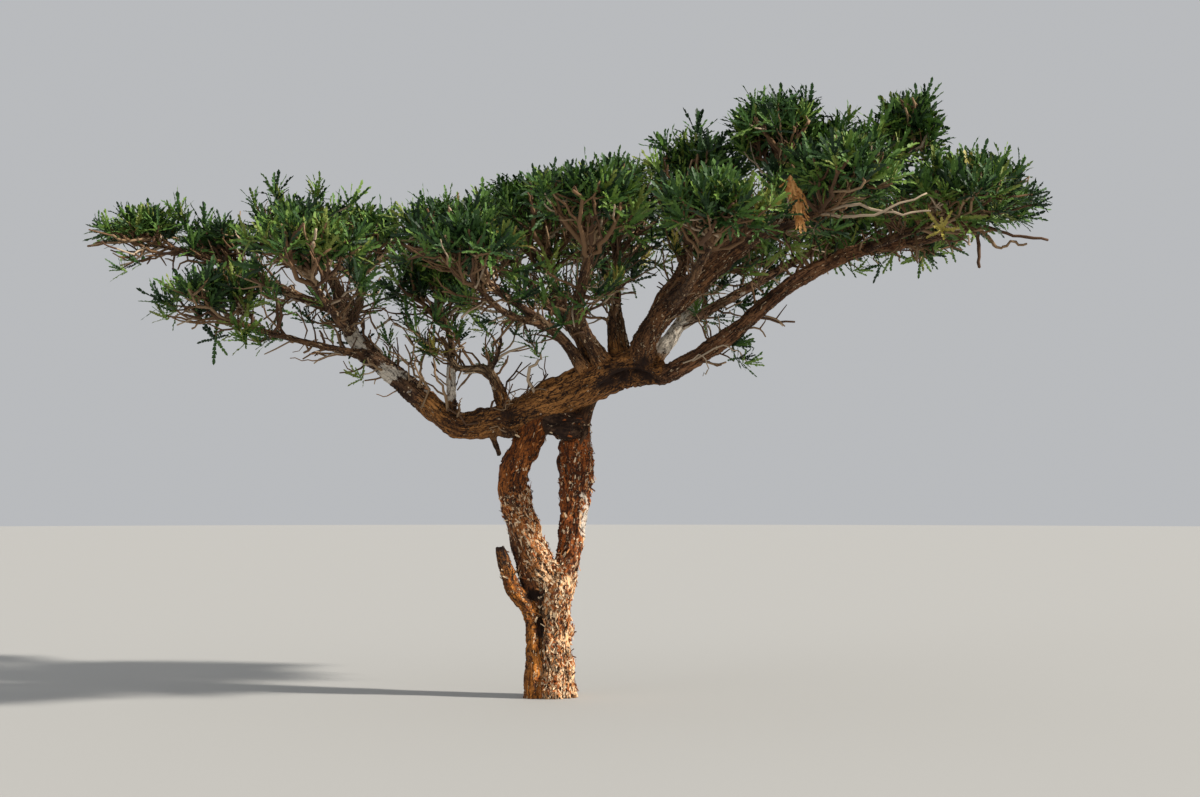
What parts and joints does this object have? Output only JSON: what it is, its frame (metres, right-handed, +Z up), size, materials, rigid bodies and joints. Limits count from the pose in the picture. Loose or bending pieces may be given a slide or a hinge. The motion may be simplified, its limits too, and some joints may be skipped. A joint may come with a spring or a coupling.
{
  "type": "frankincense tree",
  "caption": "Rooted frankincense tree with a forked trunk, crooked boughs that fan out from a heavy hub, and a wide flat crown of spiky foliage.",
  "frame": {"origin": "centre of the trunk's flat cut at ground level", "axes": "+Z up, +X to the right of the usual view along the crown's long way, +Y away from the viewer"},
  "size_m": [7.4788, 4.1669, 4.855],
  "materials": {
    "trunk_bark": "flaking papery bark, matt",
    "bough_bark": "smoother bark with flaky patches, matt",
    "thin_bark": "rough grey-brown bark, matt",
    "foliage": "green leaves, slightly waxy"
  },
  "bodies": {
    "root": {"main_bough": "trunk_bark", "trunk": "trunk_bark", "left_stem_lower": "trunk_bark", "left_stem_upper": "trunk_bark", "right_stem": "trunk_bark", "basal_stem": "trunk_bark", "stem_brace": "bough_bark", "left_bough": "bough_bark", "left_high_bough": "thin_bark", "left_mid_bough": "thin_bark", "left_tip_bough": "thin_bark", "left_low_bough": "thin_bark", "left_near_bough": "thin_bark", "left_back_bough": "thin_bark", "inner_left_bough": "thin_bark", "front_left_bough": "thin_bark", "front_low_bough": "thin_bark", "back_left_bough": "thin_bark", "front_bough": "thin_bark", "middle_bough": "thin_bark", "back_bough": "thin_bark", "far_back_bough": "thin_bark", "steep_bough": "thin_bark", "thick_bough": "bough_bark", "near_bough": "thin_bark", "near_right_bough": "thin_bark", "crest_bough": "thin_bark", "spire_bough": "thin_bark", "pale_bough": "thin_bark", "pale_side_bough": "thin_bark", "right_low_bough": "bough_bark", "right_tip_bough": "thin_bark", "right_back_bough": "thin_bark", "right_near_bough": "thin_bark", "left_high_foliage": "foliage", "left_mid_foliage": "foliage", "left_tip_foliage": "foliage", "left_low_foliage": "foliage", "left_near_foliage": "foliage", "left_back_foliage": "foliage", "inner_left_foliage": "foliage", "front_left_foliage": "foliage", "front_low_foliage": "foliage", "back_left_foliage": "foliage", "front_foliage": "foliage", "middle_foliage": "foliage", "back_foliage": "foliage", "far_back_foliage": "foliage", "steep_foliage": "foliage", "thick_foliage": "foliage", "near_foliage": "foliage", "near_right_foliage": "foliage", "crest_foliage": "foliage", "spire_foliage": "foliage", "pale_foliage": "foliage", "pale_side_foliage": "foliage", "right_tip_foliage": "foliage", "right_back_foliage": "foliage", "right_near_foliage": "foliage"}
  },
  "joints": []
}
